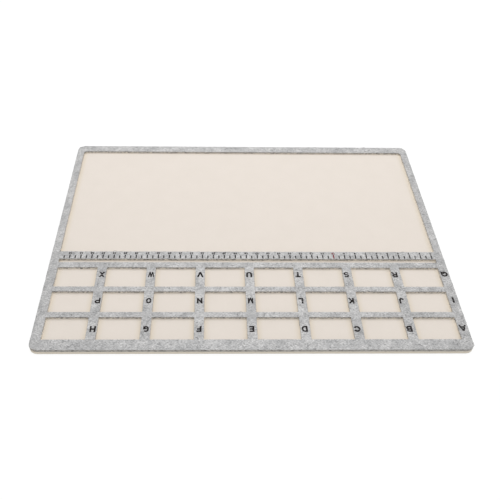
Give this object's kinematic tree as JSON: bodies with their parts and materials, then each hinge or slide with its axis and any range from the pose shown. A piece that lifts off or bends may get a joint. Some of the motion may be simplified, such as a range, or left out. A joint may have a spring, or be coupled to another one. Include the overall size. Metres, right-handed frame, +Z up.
{
  "type": "bead mat",
  "caption": "Flat rectangular bead mat: soft base sheet under a die-cut felt overlay with lettered compartments, a slot, a centimetre ruler strip and one large work window.",
  "frame": {"origin": "middle of the underside, on the surface that the mat lies on", "axes": "+X to the user's right along the long side, +Y away from the user towards the compartments, +Z up through the layers"},
  "size_m": [0.358, 0.28, 0.0053],
  "materials": {
    "base": "soft cream sheet with a short, even nap",
    "film": "thin bonding film, hidden between the sheets",
    "felt": "mottled grey needle felt with cut edges",
    "print": "matt black print on the felt",
    "print_red": "matt red print on the felt"
  },
  "bodies": {
    "root": {"base_sheet": "base", "adhesive_film": "film", "felt_overlay": "felt"}
  },
  "joints": []
}
